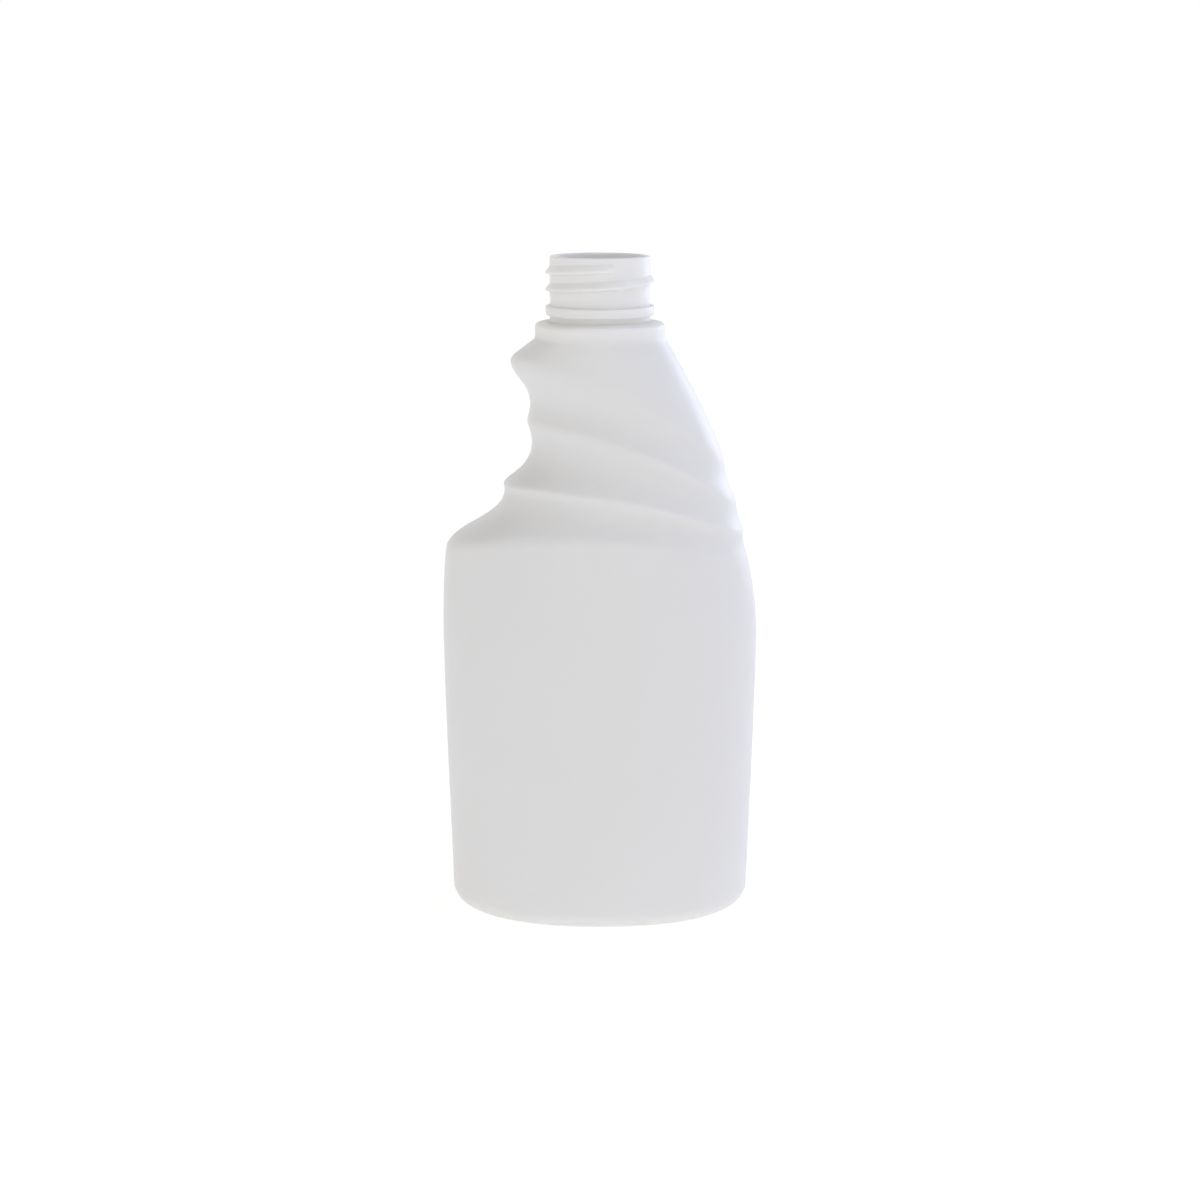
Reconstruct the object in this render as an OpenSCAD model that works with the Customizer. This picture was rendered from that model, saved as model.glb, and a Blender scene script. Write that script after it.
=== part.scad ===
// Blow-moulded spray bottle without its sprayer, with a grooved grip and an open threaded neck.
// X runs across the width, with the finger grooves at -X and the palm at +X.
// Y runs through the depth. Z is up from the table, on the axis of the neck.

/* [Neck finish] */
// Diameter over the thread
thread_d = 27.4; // [27:0.1:28]
// Diameter of the plain neck between the threads
neck_d = 25.2; // [24.8:0.1:25.6]
// Diameter of the bore
bore_d = 22.2; // [21:0.1:22.6]
// Height from the ledge to the rim of the mouth
finish_h = 16.1; // [15.8:0.1:19]
// Rise of the thread in one turn
thread_pitch = 4.23; // [3.8:0.01:4.4]
// Length of the thread, in turns
thread_turns = 1.5; // [1:0.05:1.6]
// Distance from the rim down to the crest where the thread starts
thread_start_drop = 2.9; // [2.6:0.1:3.4]
// Direction of the thread's upper end, seen from above, from +X
thread_start_angle = -70; // [-180:5:180]
// Height of the thread's sloping upper flank where it meets the neck
thread_upper_flank = 1.4; // [1:0.1:1.5]
// Height of the thread's steep lower flank where it meets the neck
thread_lower_flank = 0.4; // [0.3:0.1:0.6]
// Width of the thread's flat crest
thread_crest = 0.5; // [0.3:0.1:0.8]
// Turn over which each end of the thread runs out, in degrees
thread_run_out = 14; // [8:1:30]
// Diameter of the bead under the thread
bead_d = 27.4; // [26.8:0.1:28]
// Height of the bead
bead_h = 2.4; // [2.2:0.1:2.7]
// Height of the bead's underside above the ledge
bead_rise = 1.4; // [1:0.1:1.6]
// Rounding of the bead's edges
bead_round = 0.3; // [0.2:0.05:0.4]
// Rounding of the rim's outer edge
rim_round = 0.5; // [0.3:0.1:0.8]
// Bevel of the rim's inner edge
rim_bevel = 0.35; // [0.2:0.05:0.5]

/* [Collar] */
// Diameter of the round collar under the neck
collar_d = 33; // [32:0.5:36]
// Height of the collar's wall
collar_h = 4; // [3.4:0.1:6]
// Rounding of the collar's top edge
collar_round = 1; // [0.6:0.1:1.4]
// Rise of the ledge from the collar's edge to the neck
ledge_rise = 0.5; // [0.3:0.1:0.9]
// Rounding of the hollow at the collar's foot, at the fingers
foot_round_left = 0.4; // [0.3:0.1:0.8]
// Rounding of the hollow at the collar's foot, at the palm
foot_round_right = 1; // [0.5:0.1:1.5]

/* [Grip nose] */
// Reach of the nose above the first finger groove
nose_left = 24.9; // [23:0.1:27]
// Reach of the grip on the palm side, level with the nose line
nose_right = 32.2; // [31:0.1:33.5]
// Depth through the grip at the nose line
nose_depth = 36.3; // [35:0.1:37.5]
// Height from the nose up to the collar's foot
nose_gap = 6.2; // [5.5:0.1:8]
// Swell of the palm side between the collar and the nose line
palm_swell = 0.9; // [0.5:0.1:1.5]

/* [Grip ridge] */
// Reach of the ridge between the first two finger grooves
ridge_left = 19.1; // [18:0.1:20]
// Reach of the ridge line at the palm
ridge_right = 35.5; // [34.5:0.1:36.2]
// Depth through the grip at the ridge line
ridge_depth = 38.8; // [37.8:0.1:40]
// Height of the first groove at the fingers
groove_1_left = 14.8; // [13:0.1:17]
// Height of the first groove in front
groove_1_front = 12.7; // [11:0.1:15]
// Height of the first groove at the palm
groove_1_right = 10.6; // [9:0.1:13]
// Depth of the first groove at the fingers
groove_1_sink_left = 3.5; // [2.5:0.1:4]
// Depth of the first groove in front
groove_1_sink_front = 0.6; // [0.3:0.05:1]
// Depth of the first groove at the palm
groove_1_sink_right = 0.75; // [0.3:0.05:1]

/* [Grip lip] */
// Reach of the lip under the second finger groove
lip_left = 25.3; // [23.5:0.1:27]
// Reach of the lip line at the palm
lip_right = 37.6; // [36.8:0.1:38]
// Depth through the grip at the lip line
lip_depth = 42.8; // [41.5:0.1:43.6]
// Height of the second groove at the fingers
groove_2_left = 16; // [14:0.1:18]
// Height of the second groove in front
groove_2_front = 12.3; // [11:0.1:15]
// Height of the second groove at the palm
groove_2_right = 8.2; // [7:0.1:11]
// Depth of the second groove at the fingers
groove_2_sink_left = 4.3; // [2.8:0.1:4.6]
// Depth of the second groove in front
groove_2_sink_front = 0.8; // [0.3:0.05:1.2]
// Depth of the second groove at the palm
groove_2_sink_right = 0.55; // [0.3:0.05:0.9]

/* [Shoulder] */
// Reach of the body's shoulder at the fingers
shoulder_left = 40.1; // [39:0.1:41.2]
// Reach of the body's shoulder at the palm
shoulder_right = 38.4; // [38.1:0.1:40]
// Depth through the body at its shoulder
shoulder_depth = 45.8; // [44.5:0.1:46.8]
// Height of the scooped shoulder at the fingers
groove_3_left = 15.1; // [13:0.1:18]
// Height of the third groove in front
groove_3_front = 9.2; // [8:0.1:12]
// Height of the third groove at the palm
groove_3_right = 5.9; // [5:0.1:8]
// Depth of the scooped shoulder at the fingers
groove_3_sink_left = 4.8; // [3.6:0.1:5.2]
// Depth of the third groove in front
groove_3_sink_front = 0.5; // [0.3:0.05:0.8]
// Depth of the third groove at the palm
groove_3_sink_right = 0.45; // [0.2:0.05:0.7]
// Height of the shoulder's edge above the table, at the fingers
shoulder_z_left = 102.1; // [98:0.1:130]
// Height of the shoulder's edge in front, above its height at the fingers
shoulder_arch = 4; // [2:0.1:5]
// Height of the shoulder's edge at the palm, below its height at the fingers
shoulder_dip = 3.6; // [2:0.1:5]

/* [Edges] */
// Rounding along the nose line, at the fingers
nose_round_left = 4.4; // [3.5:0.1:4.6]
// Rounding along the nose line, at the palm
nose_round_right = 2.4; // [1.5:0.1:3]
// Rounding along the ridge line
ridge_round = 1.8; // [1:0.1:2.2]
// Rounding along the lip line
lip_round = 1.1; // [0.8:0.1:2.2]
// Rounding of the shoulder's edge, at the fingers
shoulder_round_left = 2.6; // [2:0.1:4.5]
// Rounding of the shoulder's edge, at the palm
shoulder_round_right = 1; // [0.6:0.1:1.6]

/* [Body] */
// Width of the body where it is widest
belly_w = 83.2; // [82.5:0.1:90]
// Depth of the body where it is widest
belly_depth = 48.8; // [48:0.1:52]
// Height of the widest place above the table
belly_z = 75; // [65:1:80]
// Width of the body just above its heel
heel_w = 81; // [79:0.1:82.4]
// Depth of the body just above its heel
heel_depth = 47.8; // [45:0.1:48.2]
// Radius of the heel
heel_r = 5.4; // [3.5:0.1:6]
// Squareness of the body's oval, where 2 is an ellipse
body_square = 2.2; // [2.15:0.05:2.6]
// Squareness of the grip's oval, where 2 is an ellipse
grip_square = 2.1; // [2:0.05:2.2]

/* [Base] */
// Width of the flat ring that the bottle stands on
stand_w = 3; // [2:0.1:4]
// Height of the hollow under the bottle
push_up = 2.8; // [2:0.1:4]
// Width of the slope between the stand ring and the hollow's panel
push_up_run = 5.5; // [4:0.1:7]
// Length of the pinched seam across the bottom
pinch_l = 42; // [30:1:50]
// Width of the pinched seam
pinch_w = 1.1; // [0.8:0.1:1.6]
// Height of the pinched seam
pinch_h = 0.5; // [0.3:0.1:0.8]

/* [Wall] */
// Thickness of the blown wall
wall = 1.1; // [0.9:0.05:1.4]
// Thickness under the ledge
ledge_wall = 1.9; // [1.6:0.1:2.4]

/* [Hidden] */

// Points round each ring of the outer and inner skins
ring_points = 64;
// Steps along each span between two feature lines, and over each line's rounding
outer_steps = [4, 5, 5, 4, 4, 3];
outer_round_steps = [0, 3, 2, 2, 2, 0];
inner_steps = [2, 3, 3, 2, 3, 2];
inner_round_steps = [0, 1, 1, 1, 1, 0];
heel_steps = 4;
slope_steps = 3;
neck_steps = 96;
thread_steps_per_turn = 36;
// Depth of the thread's root inside the neck's skin, and how far its ends stand out of that root
thread_root = 0.4;
thread_tip = 0.1;
// Largest part of a span that one rounding may take up
round_cap = 0.45;
// Smallest clearance of a helping solid from the face that it is cut or fused at
lap = 1;

neck_r = neck_d / 2;
bore_r = bore_d / 2;
collar_r = collar_d / 2;

// Heights of the feature lines, added up from the shoulder
shoulder_z_front = shoulder_z_left + shoulder_arch;
shoulder_z_right = shoulder_z_left - shoulder_dip;
lip_z_left = shoulder_z_left + groove_3_left;
lip_z_front = shoulder_z_front + groove_3_front;
lip_z_right = shoulder_z_right + groove_3_right;
ridge_z_left = lip_z_left + groove_2_left;
ridge_z_front = lip_z_front + groove_2_front;
ridge_z_right = lip_z_right + groove_2_right;
nose_z_left = ridge_z_left + groove_1_left;
nose_z_front = ridge_z_front + groove_1_front;
nose_z_right = ridge_z_right + groove_1_right;
foot_z = nose_z_left + nose_gap;
collar_top_z = foot_z + collar_h;
ledge_z = collar_top_z + ledge_rise;
rim_z = ledge_z + finish_h;

// A feature line: reach at -X, reach at +X, half depth, squareness, heights at -X, in front
// and at +X, and roundings at -X and at +X
foot_line = [-collar_r, collar_r, collar_r, 2, foot_z, foot_z, foot_z, foot_round_left, foot_round_right];
nose_line = [-nose_left, nose_right, nose_depth / 2, grip_square,
    nose_z_left, nose_z_front, nose_z_right, nose_round_left, nose_round_right];
ridge_line = [-ridge_left, ridge_right, ridge_depth / 2, grip_square,
    ridge_z_left, ridge_z_front, ridge_z_right, ridge_round, ridge_round];
lip_line = [-lip_left, lip_right, lip_depth / 2, mix(grip_square, body_square, 1 / 3),
    lip_z_left, lip_z_front, lip_z_right, lip_round, lip_round];
shoulder_line = [-shoulder_left, shoulder_right, shoulder_depth / 2,
    mix(grip_square, body_square, 2 / 3),
    shoulder_z_left, shoulder_z_front, shoulder_z_right, shoulder_round_left, shoulder_round_right];
belly_line = [-belly_w / 2, belly_w / 2, belly_depth / 2, body_square, belly_z, belly_z, belly_z, 0, 0];
heel_line = [-heel_w / 2, heel_w / 2, heel_depth / 2, body_square, heel_r, heel_r, heel_r, 0, 0];
LINES = [foot_line, nose_line, ridge_line, lip_line, shoulder_line, belly_line, heel_line];

// How far each span between two lines sinks in, near its upper and its lower line, each given
// at -X, in front and at +X. A groove that sinks evenly reaches three quarters of these.
full = 4 / 3;
groove_2_skew = 0.17;
groove_3_skew = -0.17;
// Shares of the belly's extra reach that the upper body has gained near the shoulder and near the belly
swell_at_shoulder = [0.45, 0.45, 0.3];
swell_at_belly = [1 / 3, 1 / 3, 1 / 3];
SINKS = [
    [[0, 0, -palm_swell] * full, [0, 0, -palm_swell] * full],
    [[groove_1_sink_left, groove_1_sink_front, groove_1_sink_right] * full,
        [groove_1_sink_left, groove_1_sink_front, groove_1_sink_right] * full],
    [[groove_2_sink_left * (1 - groove_2_skew), groove_2_sink_front, groove_2_sink_right] * full,
        [groove_2_sink_left * (1 + groove_2_skew), groove_2_sink_front, groove_2_sink_right] * full],
    [[groove_3_sink_left * (1 - groove_3_skew), groove_3_sink_front, groove_3_sink_right] * full,
        [groove_3_sink_left * (1 + groove_3_skew), groove_3_sink_front, groove_3_sink_right] * full],
    [upper_body_sink(swell_at_shoulder), upper_body_sink(swell_at_belly)],
    [-[1, 1, 1] * lower_body_swell(), [0, 0, 0]]
];

// The upper body leaves the shoulder on a slope and is upright at the belly
function upper_body_sink(share) =
    let (left = belly_w / 2 - shoulder_left, right = belly_w / 2 - shoulder_right,
        front = (belly_depth - shoulder_depth) / 2)
    -[left * share[0], front * share[1], right * share[2]];

// The lower body leaves the belly upright and then tapers evenly
function lower_body_swell() = (belly_w - heel_w) / 6;

function mix(a, b, t) = a + (b - a) * t;
function unit(v) = v / norm(v);
function power(v, e) = sign(v) * pow(abs(v), e);

// A value given at -X, in front and at +X, carried round to the angle a, with a = 0 at -X
function around(v, a) =
    let (c = cos(a)) v[1] + (v[0] - v[2]) / 2 * c + ((v[0] + v[2]) / 2 - v[1]) * c * c;

// Point of a feature line at the angle a, which is 90 in front
function line_point(l, a) =
    [(l[0] + l[1]) / 2 - (l[1] - l[0]) / 2 * power(cos(a), 2 / l[3]),
        -l[2] * power(sin(a), 2 / l[3]),
        around([l[4], l[5], l[6]], a)];

// Level direction from a line's skin towards the inside
function inward(l, a) =
    let (e = 2 * (l[3] - 1) / l[3])
    unit([power(cos(a), e) / (l[1] - l[0]) * 2, power(sin(a), e) / l[2], 0]);

function span_point(k, a, u) =
    let (near = around(SINKS[k][0], a), far = around(SINKS[k][1], a),
        depth = 3 * u * (1 - u) * (near * (1 - u) + far * u))
    mix(line_point(LINES[k], a), line_point(LINES[k + 1], a), u)
        + inward(mix(LINES[k], LINES[k + 1], u), a) * depth;

function span_slope(k, a, u) = unit(span_point(k, a, u + 0.01) - span_point(k, a, u - 0.01));
function span_length(k, a) = norm(line_point(LINES[k], a) - line_point(LINES[k + 1], a));
function line_round(k, a) = mix(LINES[k][7], LINES[k][8], (1 - cos(a)) / 2);

// Part of a span that the rounding at its upper or lower line takes up
function span_start(k, a) = min(round_cap, line_round(k, a) / span_length(k, a));
function span_end(k, a) = 1 - min(round_cap, line_round(k + 1, a) / span_length(k, a));

// Point of the rounding over line k, as a cubic curve that leaves both spans smoothly
function round_point(k, a, t) =
    let (u0 = span_end(k - 1, a), u1 = span_start(k, a),
        p0 = span_point(k - 1, a, u0), p3 = span_point(k, a, u1),
        corner = line_point(LINES[k], a),
        p1 = p0 + span_slope(k - 1, a, u0) * norm(corner - p0) * 2 / 3,
        p2 = p3 - span_slope(k, a, u1) * norm(corner - p3) * 2 / 3)
    p0 * pow(1 - t, 3) + p1 * 3 * t * pow(1 - t, 2) + p2 * 3 * t * t * (1 - t) + p3 * pow(t, 3);

function angle_of(i) = 360 * i / ring_points;

function span_rings(k, steps) =
    [for (s = [0:steps]) [for (i = [0:ring_points - 1])
        let (a = angle_of(i)) span_point(k, a, mix(span_start(k, a), span_end(k, a), s / steps))]];

function round_rings(k, steps) =
    [for (s = [1:steps]) [for (i = [0:ring_points - 1]) round_point(k, angle_of(i), s / (steps + 1))]];

// All rings of the moulded side from the collar's foot down to the heel
function side_rings(spans, rounds) = [
    for (k = [0:len(spans) - 1]) each concat(
        k > 0 && rounds[k] > 0 ? round_rings(k, rounds[k]) : [],
        k > 0 && rounds[k] == 0 ? drop_first(span_rings(k, spans[k])) : span_rings(k, spans[k]))];

function drop_first(v) = [for (i = [1:len(v) - 1]) v[i]];

// Ring of the small hollow where the collar's wall meets the grip, from t = 0 on the wall
function foot_ring(t) =
    [for (i = [0:ring_points - 1])
        let (a = angle_of(i), corner = line_point(LINES[0], a),
            high = corner + [0, 0, line_round(0, a)], low = span_point(0, a, span_start(0, a)))
        high * pow(1 - t, 2) + corner * 2 * t * (1 - t) + low * t * t];

// A level ring: a circle on the neck axis
function circle_ring(r, z) =
    [for (i = [0:ring_points - 1]) [-r * cos(angle_of(i)), -r * sin(angle_of(i)), z]];

// A level ring: the heel's oval, drawn in by a distance
function base_ring(inset, z) =
    let (l = [-heel_w / 2 + inset, heel_w / 2 - inset, heel_depth / 2 - inset, body_square, z, z, z])
    [for (i = [0:ring_points - 1]) line_point(l, angle_of(i))];

// A level ring of its own length and width, for the pinched seam
function seam_ring(l, w, z) =
    [for (i = [0:ring_points - 1]) line_point([-l / 2, l / 2, w / 2, body_square, z, z, z], angle_of(i))];

// Skin moved inwards by the wall, from the slopes along and round it
function inner_rings(rings) = [
    for (j = [1:len(rings) - 2]) [
        for (i = [0:ring_points - 1])
            let (along = rings[j + 1][i] - rings[j - 1][i],
                round = rings[j][(i + 1) % ring_points] - rings[j][(i + ring_points - 1) % ring_points])
            rings[j][i] - unit(cross(along, round)) * wall]];

// Faces of a stack of rings that is closed at both ends by a point
function stack_faces(count) = concat(
    [for (j = [0:count - 2], i = [0:ring_points - 1]) let (n = (i + 1) % ring_points)
        each [[j * ring_points + i, j * ring_points + n, (j + 1) * ring_points + i],
            [j * ring_points + n, (j + 1) * ring_points + n, (j + 1) * ring_points + i]]],
    [for (i = [0:ring_points - 1]) let (n = (i + 1) % ring_points)
        [n, i, count * ring_points]],
    [for (i = [0:ring_points - 1]) let (n = (i + 1) % ring_points, j = count - 1)
        [j * ring_points + i, j * ring_points + n, count * ring_points + 1]]);

// The hollow skin: from the middle of the bottom, up the outside, over the ledge and down inside
module shell() {
    hole_r = bore_r - lap;
    ledge_slope = ledge_rise / (collar_r - collar_round - neck_r);
    ledge_at_hole = collar_top_z + ledge_slope * (collar_r - collar_round - hole_r);
    ceiling_r = collar_r - collar_round - wall;
    panel_inset = heel_r + stand_w + push_up_run;
    outer_side = side_rings(outer_steps, outer_round_steps);
    inner_side = inner_rings(side_rings(inner_steps, inner_round_steps));
    outer = concat(
        [circle_ring(hole_r, ledge_at_hole)],
        [for (t = [90, 60, 30, 0])
            circle_ring(collar_r - collar_round * (1 - cos(t)), collar_top_z - collar_round * (1 - sin(t)))],
        [foot_ring(0), foot_ring(1 / 2)],
        outer_side,
        [for (s = [1:heel_steps]) let (t = 90 * s / heel_steps)
            base_ring(heel_r * (1 - cos(t)), heel_r * (1 - sin(t)))],
        [for (s = [0:slope_steps]) let (t = s / slope_steps)
            base_ring(heel_r + stand_w + push_up_run * t, push_up * t * t * (3 - 2 * t))],
        [seam_ring(pinch_l, pinch_w, push_up),
            seam_ring(pinch_l - pinch_w / 2, pinch_w / 2, push_up - pinch_h)]);
    inner = concat(
        [circle_ring(hole_r, ledge_at_hole - ledge_wall), circle_ring(ceiling_r, collar_top_z - ledge_wall),
            circle_ring(collar_r - wall, collar_top_z - ledge_wall - wall / 2)],
        inner_side,
        [for (s = [0:2]) let (t = 45 * s, r = heel_r - wall)
            base_ring(wall + r * (1 - cos(t)), wall + r * (1 - sin(t)))],
        [base_ring(heel_r + stand_w - wall / 2, wall), base_ring(panel_inset, push_up + wall)]);
    rings = concat([for (j = [len(inner) - 1:-1:0]) inner[j]], outer);
    ends = [[0, 0, push_up + wall], [0, 0, push_up - pinch_h]];
    polyhedron(points = concat([for (r = rings) each r], ends), faces = stack_faces(len(rings)));
}

// The neck with its bead and rounded rim, solid until the bore is cut
module neck_blank() {
    bead_r = bead_d / 2;
    bead_z = ledge_z + bead_rise;
    bead_top_z = bead_z + bead_h;
    inside_ledge_z = ledge_z - ledge_wall / 2;
    rotate_extrude($fn = neck_steps)
        polygon(concat(
            [[0, inside_ledge_z], [neck_r, inside_ledge_z], [neck_r, bead_z]],
            [for (t = [-90:30:0])
                [bead_r - bead_round * (1 - cos(t)), bead_z + bead_round * (1 + sin(t))]],
            [for (t = [0:30:90])
                [bead_r - bead_round * (1 - cos(t)), bead_top_z - bead_round * (1 - sin(t))]],
            [[neck_r, bead_top_z]],
            [for (t = [0:30:90])
                [neck_r - rim_round * (1 - cos(t)), rim_z - rim_round * (1 - sin(t))]],
            [[0, rim_z]]));
}

// The right-hand buttress thread, rooted in the neck's wall
module thread() {
    steps = ceil(thread_turns * thread_steps_per_turn);
    root_r = neck_r - thread_root;
    crest_r = thread_d / 2;
    flank_to_root = (crest_r - root_r) / (crest_r - neck_r);
    top_z = rim_z - thread_start_drop;
    function reach(s) =
        let (turned = 360 * thread_turns * s / steps, left = 360 * thread_turns - turned)
        mix(root_r + thread_tip, crest_r, min(1, turned / thread_run_out, left / thread_run_out));
    points = [for (s = [0:steps])
        let (a = thread_start_angle - 360 * thread_turns * s / steps, r = reach(s),
            z = top_z - thread_pitch * thread_turns * s / steps)
        each [
            [root_r * cos(a), root_r * sin(a), z + thread_crest / 2 + thread_upper_flank * flank_to_root],
            [r * cos(a), r * sin(a), z + thread_crest / 2],
            [r * cos(a), r * sin(a), z - thread_crest / 2],
            [root_r * cos(a), root_r * sin(a), z - thread_crest / 2 - thread_lower_flank * flank_to_root]]];
    sides = [for (s = [0:steps - 1], k = [0:3]) let (n = (k + 1) % 4)
        each [[4 * s + k, 4 * s + n, 4 * s + 4 + k], [4 * s + n, 4 * s + 4 + n, 4 * s + 4 + k]]];
    polyhedron(points = points, faces = concat(sides, [[3, 2, 1, 0]],
        [[4 * steps, 4 * steps + 1, 4 * steps + 2, 4 * steps + 3]]));
}

// The bore through the neck and the ledge, with the bevel inside the rim
module bore() {
    rotate_extrude($fn = neck_steps)
        polygon([[0, ledge_z - ledge_wall - lap * 2], [bore_r, ledge_z - ledge_wall - lap * 2],
            [bore_r, rim_z - rim_bevel], [bore_r + rim_bevel, rim_z],
            [bore_r + rim_bevel, rim_z + lap], [0, rim_z + lap]]);
}

module bottle() {
    color("white")
        difference() {
            union() {
                shell();
                neck_blank();
                thread();
            }
            bore();
        }
}

bottle();
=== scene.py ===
import math

import bpy
import numpy as np
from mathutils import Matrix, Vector


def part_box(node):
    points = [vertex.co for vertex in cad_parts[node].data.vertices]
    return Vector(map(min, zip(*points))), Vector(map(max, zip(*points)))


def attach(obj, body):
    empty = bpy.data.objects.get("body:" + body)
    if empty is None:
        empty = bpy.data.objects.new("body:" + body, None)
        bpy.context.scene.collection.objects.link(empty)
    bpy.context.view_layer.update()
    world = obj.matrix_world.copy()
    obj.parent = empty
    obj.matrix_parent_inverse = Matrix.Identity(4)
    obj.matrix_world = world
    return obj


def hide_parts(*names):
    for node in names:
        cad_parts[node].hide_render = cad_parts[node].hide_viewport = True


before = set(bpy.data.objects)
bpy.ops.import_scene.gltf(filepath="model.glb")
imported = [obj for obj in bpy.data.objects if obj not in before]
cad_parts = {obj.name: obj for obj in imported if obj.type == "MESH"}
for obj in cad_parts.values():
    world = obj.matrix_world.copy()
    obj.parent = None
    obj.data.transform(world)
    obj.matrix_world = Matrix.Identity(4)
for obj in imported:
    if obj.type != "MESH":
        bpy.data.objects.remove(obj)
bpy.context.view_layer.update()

# Room: how strongly it lights the bottle, the heights in degrees above level between which that
# light fades out, how bright the gloss finds the upper part, and the heights where that fades
ROOM_LIGHT = 0.71
ROOM_FADE = (50, 60)
CEILING_SEEN = 0.15
CEILING_FADE = (20, 40)

# Floor in metres: half its side, how strongly it lights the bottle, how much brighter it looks to
# the rays that should see white, near the bottle and far away, and where near and far are
FLOOR_HALF = 4.0
FLOOR_COLOUR = (0.85, 0.85, 0.85, 1)
FLOOR_GLOW = 0.325
FLOOR_LIFT_NEAR = 0.47
FLOOR_LIFT_FAR = 0.62
FLOOR_NEAR = 0.3
FLOOR_FAR = 1.5

# Lamps: place and size in metres, power in watts, and colour. They point at a spot above the floor.
NEUTRAL, COOL, FAINTLY_COOL = (1, 1, 1), (0.52, 0.62, 1.0), (0.7, 0.77, 1.0)
LAMPS = {
    "low_front_box": ((0, -1.5, 0.12), (1.4, 0.22), 1.8, NEUTRAL),
    "right_front_box": ((1.1, -1.1, 0.25), (0.9, 0.5), 0.85, COOL),
    "right_back_box": ((1.1, 1.1, 0.3), (0.9, 0.5), 3.9, FAINTLY_COOL),
    "high_right_box": ((0.9, 0, 1.2), (0.4, 0.4), 3.8, COOL),
    "high_left_box": ((-0.9, -0.5, 1.0), (0.4, 0.4), 0.7, NEUTRAL),
    "top_box": ((0, 0, 1.5), (0.4, 0.4), 2.4, NEUTRAL),
}
LAMP_AIM = Vector((0, 0, 0.09))

# Camera: lens and sensor in millimetres, distance in metres, and how far it looks down in degrees
CAMERA_LENS = 50
CAMERA_SENSOR = 36
CAMERA_DISTANCE = 0.4421
CAMERA_PITCH = 15.3
CAMERA_AIM = Vector((0, 0, 0.0851))

# Plastic: the two tints it varies between, the roughness, how far light spreads inside it in
# metres, and the size of its clouds and of its moulded grain
PLASTIC_IOR = 1.5
PLASTIC_TINTS = ((0.832, 0.815, 0.789, 1), (0.846, 0.828, 0.801, 1))
PLASTIC_ROUGHNESS = (0.36, 0.44)
LIGHT_INSIDE = 0.5
LIGHT_SPREAD = 0.003
CLOUD_SCALE = 28
GRAIN_SCALE = 2200
GRAIN_STRENGTH = 0.25
GRAIN_DEPTH = 0.00004

# The sizes of the form are in millimetres, as in the part's source, and this makes them metres
MM = 0.001

# Heights
RIM_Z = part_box("bottle")[1][2] / MM
FINISH_H = 16.1
COLLAR_H = 4.0
COLLAR_ROUND = 1.0
LEDGE_RISE = 0.5
LEDGE_Z = RIM_Z - FINISH_H
COLLAR_TOP_Z = LEDGE_Z - LEDGE_RISE
FOOT_Z = COLLAR_TOP_Z - COLLAR_H

# Neck finish
NECK_R = 12.6
BORE_R = 11.1
THREAD_R = 13.7
THREAD_PITCH = 4.23
THREAD_TURNS = 1.5
THREAD_TOP_Z = RIM_Z - 2.9
THREAD_START = -70.0
THREAD_CREST = 0.5
THREAD_UPPER_FLANK = 1.4
THREAD_LOWER_FLANK = 0.4
THREAD_SOFT = 0.09
THREAD_RUN_OUT = 14.0
THREAD_STEP = 0.06
BEAD_R = 13.7
BEAD_H = 2.4
BEAD_Z = LEDGE_Z + 1.4
BEAD_ROUND = 0.3
ROOT_ROUND = 0.4
RIM_ROUND = 0.5
RIM_BEVEL = 0.35

# Wall and base
WALL = 1.1
LEDGE_WALL = 1.9
BORE_END = 0.8
ROOM_TOP = 0.5
COLLAR_R = 16.5
HEEL_R = 5.4
STAND_W = 3.0
PUSH_UP = 2.8
PUSH_UP_RUN = 5.5
PINCH_L = 42.0
PINCH_W = 1.1
PINCH_H = 0.5

# Mould parting line: how far it stands proud, its half width as an angle round the section, and
# the angles beside it where the section has extra points
PARTING_H = 0.09
PARTING_ANGLE = 0.5
PARTING_POINTS = (0.2, 0.4, 0.75)

# Even points round a section
POINTS_ROUND = 184

# The most of a span that the rounding at one of its ends takes up
MOST_OF_SPAN = 0.45

# Feature lines: reach at -X, reach at +X, half depth, squareness, heights at -X, in front and
# at +X, and roundings at -X and at +X
LINES = [
    (-COLLAR_R, COLLAR_R, COLLAR_R, 2.0, FOOT_Z, FOOT_Z, FOOT_Z, 0.4, 1.0),
    (-24.9, 32.2, 18.15, 2.1, 148.0, 140.3, 123.2, 4.4, 2.4),
    (-19.1, 35.5, 19.4, 2.1, 133.2, 127.6, 112.6, 1.8, 1.8),
    (-25.3, 37.6, 21.4, 2.133, 117.2, 115.3, 104.4, 1.1, 1.1),
    (-40.1, 38.4, 22.9, 2.167, 102.1, 106.1, 98.5, 2.6, 1.0),
    (-41.6, 41.6, 24.4, 2.2, 75.0, 75.0, 75.0, 0.0, 0.0),
    (-40.5, 40.5, 23.9, 2.2, HEEL_R, HEEL_R, HEEL_R, 0.0, 0.0),
]

# How far each span between two lines sinks in near its upper and its lower line, at -X, in front
# and at +X, and, for the three finger grooves, how quickly it leaves the front value on the way
# round to the two sides. A groove that sinks evenly reaches three quarters of a value times FULL.
FULL = 4 / 3
SINKS = [
    ((0, 0, -0.9), (0, 0, -0.9), None),
    ((3.5, 1.5, 0.75), (3.5, 1.0, 0.75), 1.6),
    ((4.3 * 0.83, 1.7, 0.55), (4.3 * 1.17, 1.2, 0.55), 1.6),
    ((4.8 * 1.17, 1.6, 0.45), (4.8 * 0.83, 1.1, 0.45), 1.6),
    ((-0.51, -0.27, -0.72), (-0.375, -0.375, -0.8), None),
    ((-0.275, -0.275, -0.275), (0, 0, 0), None),
]


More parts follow.
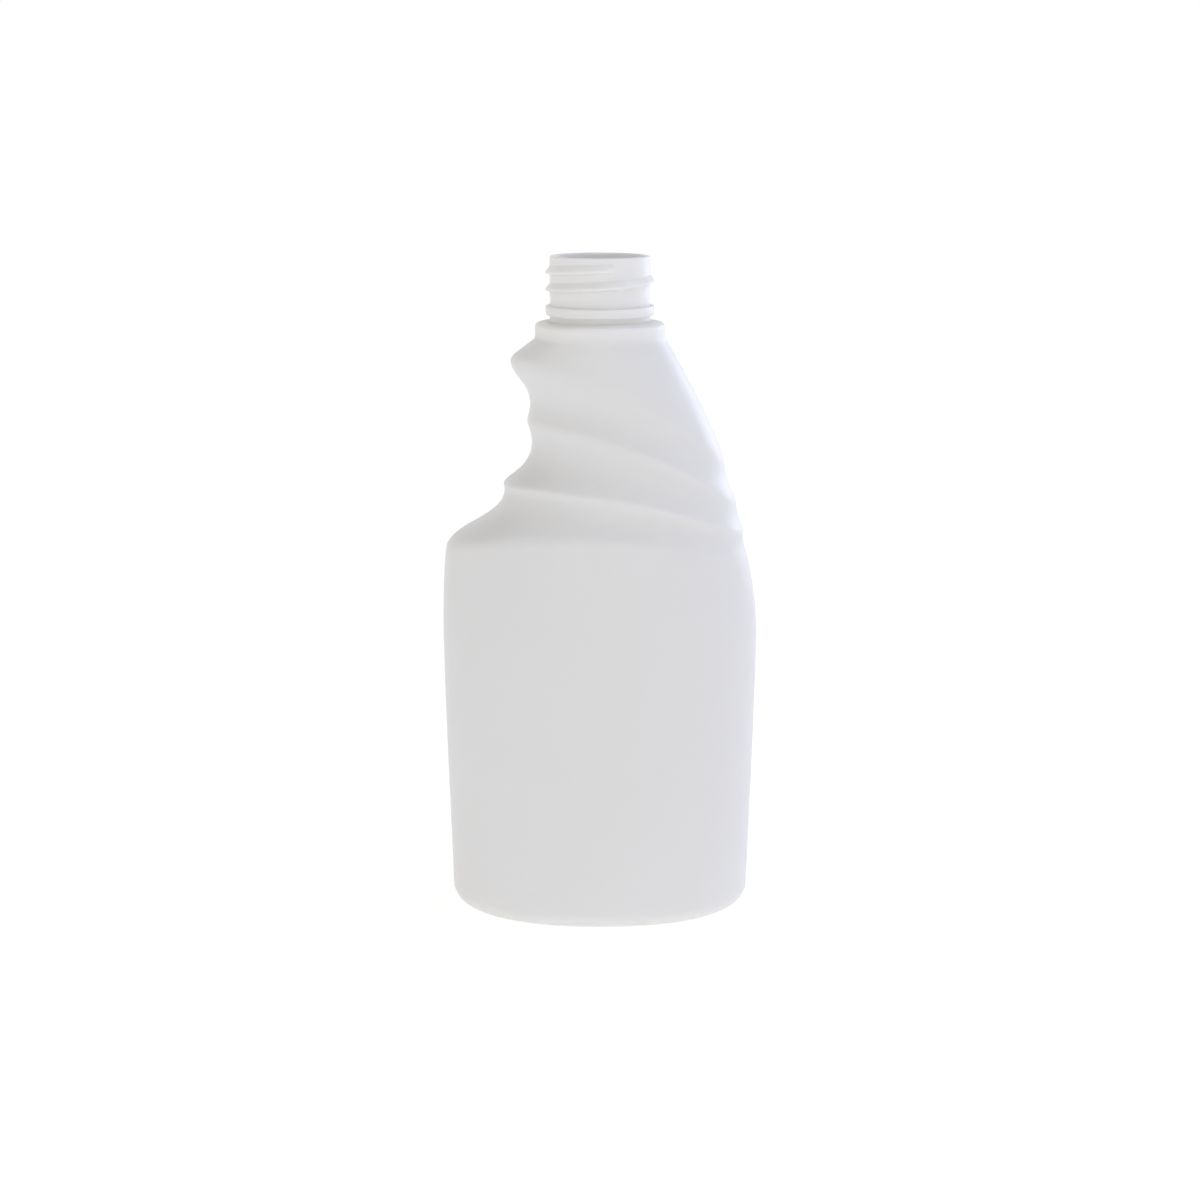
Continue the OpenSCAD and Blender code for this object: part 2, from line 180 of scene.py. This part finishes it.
def ring_angles():
    """Angles round a section, 0 at -X and 90 in front, with extra ones beside the parting line."""
    even = [360 * i / POINTS_ROUND for i in range(POINTS_ROUND)]
    extra = [side + sign * b for side in (0, 180) for b in PARTING_POINTS for sign in (-1, 1)]
    return np.radians(sorted(a % 360 for a in even + extra))


ANGLES = ring_angles()
COS, SIN = np.cos(ANGLES), np.sin(ANGLES)


def mix(a, b, t):
    return a + (b - a) * t


def power(v, e):
    return np.sign(v) * np.abs(v) ** e


def unit(v):
    return v / np.linalg.norm(v, axis=-1, keepdims=True)


def smooth(t):
    t = np.clip(t, 0, 1)
    return t * t * (3 - 2 * t)


def around(v):
    """A value given at -X, in front and at +X, carried round the section."""
    return v[1] + (v[0] - v[2]) / 2 * COS + ((v[0] + v[2]) / 2 - v[1]) * COS * COS


def eased(v, ease):
    """A value given at -X, in front and at +X, that leaves its front value slowly."""
    to_left, to_right = np.maximum(COS, 0) ** ease, np.maximum(-COS, 0) ** ease
    return v[1] + (v[0] - v[1]) * to_left + (v[2] - v[1]) * to_right


def oval(left, right, depth, square, z):
    x = (left + right) / 2 - (right - left) / 2 * power(COS, 2 / square)
    y = -depth * power(SIN, 2 / square)
    return np.stack([x, y, z + 0 * x], axis=1)


def line_ring(k):
    left, right, depth, square, z_left, z_front, z_right = LINES[k][:7]
    return oval(left, right, depth, square, around((z_left, z_front, z_right)))


def rounding(k):
    """How far from line k its rounding starts, one number for each angle."""
    return mix(LINES[k][7], LINES[k][8], (1 - COS) / 2)


def lifted(ring, height):
    """A ring moved up by one height for each angle."""
    return ring + [0, 0, 1] * height[:, None]


def inward(k, u):
    """Level direction from the skin towards the inside, at the part u of span k."""
    left, right, depth, square = [mix(a, b, u) for a, b in zip(LINES[k][:4], LINES[k + 1][:4])]
    e = 2 * (square - 1) / square
    across = np.sign(COS) * np.abs(COS) ** e * 2 / (right - left)
    through = np.sign(SIN) * np.abs(SIN) ** e / depth
    return unit(np.stack([across, through, 0 * across], axis=1))


def span_ring(k, u):
    """Ring at the part u, one number for each angle, of the way from line k to the next."""
    u = u + 0 * ANGLES
    near, far, ease = SINKS[k]
    near, far = [FULL * (eased(v, ease) if ease else around(v)) for v in (near, far)]
    depth = 3 * u * (1 - u) * (near * (1 - u) + far * u)
    return mix(line_ring(k), line_ring(k + 1), u[:, None]) + inward(k, u) * depth[:, None]


def span_slope(k, u, step=0.01):
    return unit(span_ring(k, u + step) - span_ring(k, u - step))


def part_of_span(k, line):
    """The part of span k that the rounding over one of its two lines takes up."""
    length = np.linalg.norm(line_ring(k) - line_ring(k + 1), axis=1)
    return np.minimum(MOST_OF_SPAN, rounding(line) / length)


def round_ring(k, t):
    """Ring at the part t of the rounding over line k, which leaves both spans smoothly."""
    u0, u1 = 1 - part_of_span(k - 1, k), part_of_span(k, k)
    p0, p3 = span_ring(k - 1, u0), span_ring(k, u1)
    corner = line_ring(k)
    reach0 = np.linalg.norm(corner - p0, axis=1, keepdims=True) * 2 / 3
    reach3 = np.linalg.norm(corner - p3, axis=1, keepdims=True) * 2 / 3
    p1 = p0 + span_slope(k - 1, u0) * reach0
    p2 = p3 - span_slope(k, u1) * reach3
    return p0 * (1 - t) ** 3 + p1 * 3 * t * (1 - t) ** 2 + p2 * 3 * t * t * (1 - t) + p3 * t ** 3


def foot_ring(t):
    """Ring at the part t of the small hollow where the collar's wall meets the grip."""
    low = span_ring(0, part_of_span(0, 0))
    corner = line_ring(0)
    high = lifted(corner, rounding(0))
    return high * (1 - t) ** 2 + corner * 2 * t * (1 - t) + low * t * t


def side_rings(span_steps, round_steps):
    """The moulded side from the collar's foot down to the heel."""
    rings = []
    for k, steps in enumerate(span_steps):
        if round_steps[k]:
            parts = round_steps[k] + 1
            rings += [round_ring(k, s / parts) for s in range(1, parts)]
        start, end = part_of_span(k, k), 1 - part_of_span(k, k + 1)
        first = 1 if k and not round_steps[k] else 0
        rings += [span_ring(k, mix(start, end, s / steps)) for s in range(first, steps + 1)]
    return rings


def circle(r, z):
    return np.stack([-r * COS, -r * SIN, z + 0 * COS], axis=1)


def base_ring(inset, z):
    left, right, depth, square = LINES[-1][:4]
    return oval(left + inset, right - inset, depth - inset, square, z)


def thread_section(over):
    """The thread's height, as a part of the full one, at a distance above its crest's middle."""
    flank = np.where(over > 0, THREAD_UPPER_FLANK, THREAD_LOWER_FLANK)
    return np.clip(1 - (np.abs(over) - THREAD_CREST / 2) / flank, 0, 1)


def thread_height(z):
    """The thread's height round the ring at z, as a part of the full one."""
    turned = (THREAD_START - np.degrees(ANGLES) - 180) % 360
    height = 0 * turned
    for turn in range(math.ceil(THREAD_TURNS)):
        along = turned + 360 * turn
        over = z - (THREAD_TOP_Z - THREAD_PITCH * along / 360)
        rise = sum(thread_section(over + THREAD_SOFT * t) for t in (-1, -0.5, 0, 0.5, 1)) / 5
        ends = np.clip(np.minimum(along, 360 * THREAD_TURNS - along) / THREAD_RUN_OUT, 0, 1)
        height = np.maximum(height, rise * smooth(ends))
    return height


def arc(r, z, radius, start, end, steps):
    """Points (r, z) on a round edge of the neck's section, by angles from level outwards."""
    turns = np.radians(np.linspace(start, end, steps + 1))
    return [(r + radius * math.cos(t), z + radius * math.sin(t)) for t in turns]


def neck_rings():
    """The neck's outside, from its root on the ledge up to the start of the rim's rounding."""
    bead_top = BEAD_Z + BEAD_H
    section = arc(NECK_R + ROOT_ROUND, LEDGE_Z + ROOT_ROUND, ROOT_ROUND, 270, 180, 5)
    section += [(NECK_R, mix(LEDGE_Z + ROOT_ROUND, BEAD_Z, t)) for t in (0.3, 0.6)]
    section += [(NECK_R, BEAD_Z - THREAD_STEP), (NECK_R, BEAD_Z), (NECK_R + THREAD_STEP, BEAD_Z)]
    section += arc(BEAD_R - BEAD_ROUND, BEAD_Z + BEAD_ROUND, BEAD_ROUND, -90, 0, 5)
    section += [(BEAD_R, mix(BEAD_Z, bead_top, 0.5))]
    section += arc(BEAD_R - BEAD_ROUND, bead_top - BEAD_ROUND, BEAD_ROUND, 0, 90, 5)
    section += [(NECK_R + THREAD_STEP, bead_top), (NECK_R, bead_top)]
    rings = [circle(r, z) for r, z in section]
    start, end = bead_top + THREAD_STEP, RIM_Z - RIM_ROUND
    steps = round((end - start) / THREAD_STEP)
    for s in range(steps + 1):
        z = mix(start, end, s / steps)
        rings.append(circle(NECK_R + (THREAD_R - NECK_R) * thread_height(z), z))
    return rings


def rim_rings():
    """The rim, over its outer rounding and down its inner one."""
    rings = []
    for t in np.radians([15, 30, 45, 60, 75, 90]):
        inset, drop = RIM_ROUND * (1 - math.cos(t)), RIM_ROUND * (1 - math.sin(t))
        rings.append(circle(NECK_R - inset, RIM_Z - drop))
    for t in np.radians([0, 22.5, 45, 67.5, 90]):
        inset, drop = RIM_BEVEL * (1 - math.sin(t)), RIM_BEVEL * (1 - math.cos(t))
        rings.append(circle(BORE_R + inset, RIM_Z - drop))
    return rings


def parted(ring):
    """A ring with the fine ridge that the mould's parting line leaves at both ends."""
    degrees = np.degrees(ANGLES) % 180
    off = np.minimum(degrees, 180 - degrees) / PARTING_ANGLE
    ridge = PARTING_H * np.clip(1 - off * off, 0, 1)
    out = ring.copy()
    out[:, 0] -= np.sign(COS) * ridge
    return out


def inner_skin(rings):
    """Rings moved inwards by the wall, along the skin's normals."""
    inner = []
    for above, ring, below in zip(rings, rings[1:], rings[2:]):
        round_it = np.roll(ring, -1, axis=0) - np.roll(ring, 1, axis=0)
        inner.append(ring - unit(np.cross(below - above, round_it)) * WALL)
    return inner


def base_rings():
    """The bottom, from the pinched seam out to the stand ring and up the heel."""
    seam_z = PUSH_UP - PINCH_H
    seam = oval(-PINCH_L / 2, PINCH_L / 2, PINCH_W / 2, LINES[-1][3], 0)
    crest_end = PINCH_L / 2 - PINCH_W / 3
    crest = oval(-crest_end, crest_end, PINCH_W / 6, LINES[-1][3], 0)
    rings = [crest + [0, 0, seam_z]]
    for t in (0.25, 0.5, 0.75, 1):
        rings.append(mix(crest, seam, t) + [0, 0, mix(seam_z, PUSH_UP, smooth(t))])
    panel = base_ring(HEEL_R + STAND_W + PUSH_UP_RUN, PUSH_UP)
    rings += [mix(rings[-1], panel, t) for t in (0.03, 0.1, 0.3, 0.55, 0.8, 0.95)]
    slope_steps = 12
    for s in range(slope_steps + 1):
        t = s / slope_steps
        inset = HEEL_R + STAND_W + PUSH_UP_RUN * (1 - t)
        rings.append(base_ring(inset, PUSH_UP * (1 - smooth(t))))
    rings += [base_ring(HEEL_R + STAND_W * (1 - t), 0) for t in (0.05, 0.5, 0.95)]
    heel_steps = 14
    for s in range(heel_steps):
        t = math.radians(90 * (1 - s / heel_steps))
        rings.append(base_ring(HEEL_R * (1 - math.cos(t)), HEEL_R * (1 - math.sin(t))))
    return rings


def collar_rings():
    """The collar's wall, its rounded edge and the ledge inside it, upwards."""
    wall_h = COLLAR_H - COLLAR_ROUND
    foot = line_ring(0)
    rings = [lifted(foot, mix(rounding(0), wall_h, t)) for t in (0.3, 0.6, 0.9)]
    for t in np.radians([0, 15, 30, 45, 60, 75, 90]):
        inset, drop = COLLAR_ROUND * (1 - math.cos(t)), COLLAR_ROUND * (1 - math.sin(t))
        rings.append(circle(COLLAR_R - inset, COLLAR_TOP_Z - drop))
    out, root = COLLAR_R - COLLAR_ROUND, NECK_R + ROOT_ROUND
    for t in (0.2, 0.5, 0.8):
        rings.append(circle(mix(out, root, t), mix(COLLAR_TOP_Z, LEDGE_Z, t)))
    return rings


def bore_rings():
    """The bore from the rim down, and how it opens out under the ledge."""
    bore_z = LEDGE_Z - LEDGE_WALL + BORE_END
    rings = [circle(BORE_R, mix(RIM_Z - RIM_BEVEL, bore_z, t)) for t in (0.1, 0.3, 0.6, 0.9, 1)]
    room_r, room_z = COLLAR_R - WALL, FOOT_Z + ROOM_TOP
    for t in np.radians([15, 30, 45, 60, 75, 90]):
        r, z = mix(BORE_R, room_r, 1 - math.cos(t)), mix(bore_z, room_z, math.sin(t))
        rings.append(circle(r, z))
    return rings


def inner_base_rings():
    """The inside of the heel and of the bottom."""
    turn = HEEL_R - WALL
    rings = []
    for t in np.radians([0, 22.5, 45, 67.5, 90]):
        rings.append(base_ring(WALL + turn * (1 - math.cos(t)), WALL + turn * (1 - math.sin(t))))
    panel = base_ring(HEEL_R + STAND_W + PUSH_UP_RUN, PUSH_UP + WALL)
    floor = [mix(rings[-1], panel, t) for t in (0.3, 0.65, 1)]
    for ring, t in zip(floor, (0.1, 0.7, 1)):
        ring[:, 2] = mix(WALL, PUSH_UP + WALL, t)
    floor += [mix(panel, panel.mean(axis=0), t) for t in (0.4, 0.8)]
    return rings + floor


def shell_rings():
    """All rings, from the middle of the bottom, up the outside, over the rim and down inside."""
    side = [foot_ring(s / 6) for s in range(6)]
    side += side_rings([14, 16, 16, 14, 16, 10], [0, 8, 7, 7, 7, 0])
    outer = base_rings() + side[::-1] + collar_rings() + neck_rings()
    outer = [parted(ring) for ring in outer]
    inner = inner_skin(side_rings([4, 6, 6, 5, 8, 6], [0, 2, 2, 2, 2, 0]))
    return outer + rim_rings() + bore_rings() + inner + inner_base_rings()


def make_shell():
    """The bottle as one closed mesh."""
    rings = shell_rings()
    count = len(ANGLES)
    middles = [ring.mean(axis=0)[None] for ring in (rings[0], rings[-1])]
    points = np.concatenate(rings + middles) * MM
    first, last = len(rings) * count, len(rings) * count + 1
    faces = []
    for j in range(len(rings) - 1):
        low, high = j * count, (j + 1) * count
        for i in range(count):
            n = (i + 1) % count
            faces.append((low + i, low + n, high + n, high + i))
    top = (len(rings) - 1) * count
    for i in range(count):
        n = (i + 1) % count
        faces.append((n, i, first))
        faces.append((top + i, top + n, last))
    mesh = bpy.data.meshes.new("bottle_shell")
    mesh.from_pydata(points.tolist(), [], faces)
    mesh.validate()
    mesh.shade_smooth()
    shell = bpy.data.objects.new("bottle_shell", mesh)
    bpy.context.scene.collection.objects.link(shell)
    return shell


def new_material(name):
    material = bpy.data.materials.new(name)
    material.use_nodes = True
    return material, material.node_tree.nodes, material.node_tree.links


def plastic_material():
    """White polyethylene that lets a little light in, with the satin face of a blasted mould."""
    material, nodes, links = new_material("satin_polyethylene")
    shader = nodes["Principled BSDF"]
    shader.inputs["IOR"].default_value = PLASTIC_IOR
    shader.inputs["Subsurface Weight"].default_value = LIGHT_INSIDE
    shader.inputs["Subsurface Radius"].default_value = (1.0, 1.0, 1.0)
    shader.inputs["Subsurface Scale"].default_value = LIGHT_SPREAD
    place = nodes.new("ShaderNodeTexCoord")

    cloud = nodes.new("ShaderNodeTexNoise")
    cloud.inputs["Scale"].default_value = CLOUD_SCALE
    cloud.inputs["Detail"].default_value = 3
    tint = nodes.new("ShaderNodeMix")
    tint.data_type = "RGBA"
    tint.inputs["A"].default_value, tint.inputs["B"].default_value = PLASTIC_TINTS
    links.new(place.outputs["Object"], cloud.inputs["Vector"])
    links.new(cloud.outputs["Fac"], tint.inputs["Factor"])
    links.new(tint.outputs["Result"], shader.inputs["Base Color"])

    polish = nodes.new("ShaderNodeMapRange")
    polish.inputs["To Min"].default_value, polish.inputs["To Max"].default_value = PLASTIC_ROUGHNESS
    links.new(cloud.outputs["Fac"], polish.inputs["Value"])
    links.new(polish.outputs["Result"], shader.inputs["Roughness"])

    grain = nodes.new("ShaderNodeTexNoise")
    grain.inputs["Scale"].default_value = GRAIN_SCALE
    grain.inputs["Detail"].default_value = 2
    bump = nodes.new("ShaderNodeBump")
    bump.inputs["Strength"].default_value = GRAIN_STRENGTH
    bump.inputs["Distance"].default_value = GRAIN_DEPTH
    links.new(place.outputs["Object"], grain.inputs["Vector"])
    links.new(grain.outputs["Fac"], bump.inputs["Height"])
    links.new(bump.outputs["Normal"], shader.inputs["Normal"])
    return material


def seen_as_white(nodes):
    """1 for the rays that should find a white studio: camera, gloss and transmission rays."""
    path = nodes.new("ShaderNodeLightPath")
    links = nodes.id_data.links
    gloss = nodes.new("ShaderNodeMath")
    gloss.operation = "MAXIMUM"
    links.new(path.outputs["Is Camera Ray"], gloss.inputs[0])
    links.new(path.outputs["Is Glossy Ray"], gloss.inputs[1])
    glass = nodes.new("ShaderNodeMath")
    glass.operation = "MAXIMUM"
    links.new(gloss.outputs[0], glass.inputs[0])
    links.new(path.outputs["Is Transmission Ray"], glass.inputs[1])
    return glass.outputs[0]


def switched(nodes, plain, seen):
    """A strength with one value for the light on the object and one for rays that see white."""
    strength = nodes.new("ShaderNodeMapRange")
    strength.inputs["To Min"].default_value = plain
    strength.inputs["To Max"].default_value = seen
    nodes.id_data.links.new(seen_as_white(nodes), strength.inputs["Value"])
    return strength


def make_floor():
    """A pale floor that glows a little, looks white and keeps the bottle's shadow."""
    corners = [(x * FLOOR_HALF, y * FLOOR_HALF, 0) for x, y in ((-1, -1), (1, -1), (1, 1), (-1, 1))]
    mesh = bpy.data.meshes.new("floor")
    mesh.from_pydata(corners, [], [(0, 1, 2, 3)])
    floor = bpy.data.objects.new("floor", mesh)
    bpy.context.scene.collection.objects.link(floor)
    material, nodes, links = new_material("pale_floor")
    shader = nodes["Principled BSDF"]
    shader.inputs["Base Color"].default_value = FLOOR_COLOUR
    shader.inputs["Roughness"].default_value = 0.9
    shader.inputs["Specular IOR Level"].default_value = 0.0

    # The seen lift grows with the distance from the bottle, where the lamps no longer reach
    place = nodes.new("ShaderNodeTexCoord")
    distance = nodes.new("ShaderNodeVectorMath")
    distance.operation = "LENGTH"
    links.new(place.outputs["Object"], distance.inputs[0])
    lift = nodes.new("ShaderNodeMapRange")
    lift.inputs["From Min"].default_value = FLOOR_NEAR
    lift.inputs["From Max"].default_value = FLOOR_FAR
    lift.inputs["To Min"].default_value = FLOOR_LIFT_NEAR
    lift.inputs["To Max"].default_value = FLOOR_LIFT_FAR
    links.new(distance.outputs["Value"], lift.inputs["Value"])
    strength = switched(nodes, FLOOR_GLOW, 1.0)
    links.new(lift.outputs["Result"], strength.inputs["To Max"])
    glow = nodes.new("ShaderNodeEmission")
    links.new(strength.outputs["Result"], glow.inputs["Strength"])
    both = nodes.new("ShaderNodeAddShader")
    links.new(shader.outputs["BSDF"], both.inputs[0])
    links.new(glow.outputs["Emission"], both.inputs[1])
    links.new(both.outputs["Shader"], nodes["Material Output"].inputs["Surface"])
    mesh.materials.append(material)


def by_height(nodes, low, high, start, end):
    """A strength that goes from start to end between two heights in degrees above level."""
    place = nodes.new("ShaderNodeTexCoord")
    split = nodes.new("ShaderNodeSeparateXYZ")
    ramp = nodes.new("ShaderNodeMapRange")
    ramp.interpolation_type = "SMOOTHSTEP"
    ramp.inputs["From Min"].default_value = math.sin(math.radians(low))
    ramp.inputs["From Max"].default_value = math.sin(math.radians(high))
    ramp.inputs["To Min"].default_value = start
    ramp.inputs["To Max"].default_value = end
    nodes.id_data.links.new(place.outputs["Generated"], split.inputs[0])
    nodes.id_data.links.new(split.outputs["Z"], ramp.inputs["Value"])
    return ramp.outputs["Result"]


def make_world():
    """An even, slightly dim room with a dark ceiling, whose lower part looks white."""
    world = bpy.data.worlds.new("studio")
    bpy.context.scene.world = world
    world.use_nodes = True
    nodes, links = world.node_tree.nodes, world.node_tree.links
    strength = switched(nodes, ROOM_LIGHT, 1.0)
    links.new(by_height(nodes, *ROOM_FADE, ROOM_LIGHT, 0), strength.inputs["To Min"])
    links.new(by_height(nodes, *CEILING_FADE, 1, CEILING_SEEN), strength.inputs["To Max"])
    links.new(strength.outputs["Result"], nodes["Background"].inputs["Strength"])
    nodes["Background"].inputs["Color"].default_value = (1, 1, 1, 1)


def soft_box(name, place, size, power_w, colour):
    lamp = bpy.data.lights.new(name, "AREA")
    lamp.shape = "RECTANGLE"
    lamp.size, lamp.size_y = size
    lamp.energy = power_w
    lamp.color = colour
    obj = bpy.data.objects.new(name, lamp)
    obj.location = place
    obj.rotation_euler = (LAMP_AIM - Vector(place)).to_track_quat("-Z", "Y").to_euler()
    bpy.context.scene.collection.objects.link(obj)


def make_lights():
    for name, settings in LAMPS.items():
        soft_box(name, *settings)


def make_camera():
    """Looks down a little on the front, as in the photograph."""
    pitch = math.radians(CAMERA_PITCH)
    camera = bpy.data.objects.new("camera", bpy.data.cameras.new("camera"))
    camera.data.lens = CAMERA_LENS
    camera.data.sensor_width = CAMERA_SENSOR
    camera.data.clip_start = 0.01
    back = Vector((0, -math.cos(pitch), math.sin(pitch)))
    camera.location = CAMERA_AIM + back * CAMERA_DISTANCE
    camera.rotation_euler = (CAMERA_AIM - camera.location).to_track_quat("-Z", "Y").to_euler()
    bpy.context.scene.collection.objects.link(camera)
    bpy.context.scene.camera = camera


make_camera()
make_world()
make_lights()
make_floor()

bottle = make_shell()
bottle.data.materials.append(plastic_material())
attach(bottle, "root")
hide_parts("bottle")

bpy.context.scene.view_settings.view_transform = "Standard"


def plain(box):
    return [[float(v) for v in corner] for corner in box]
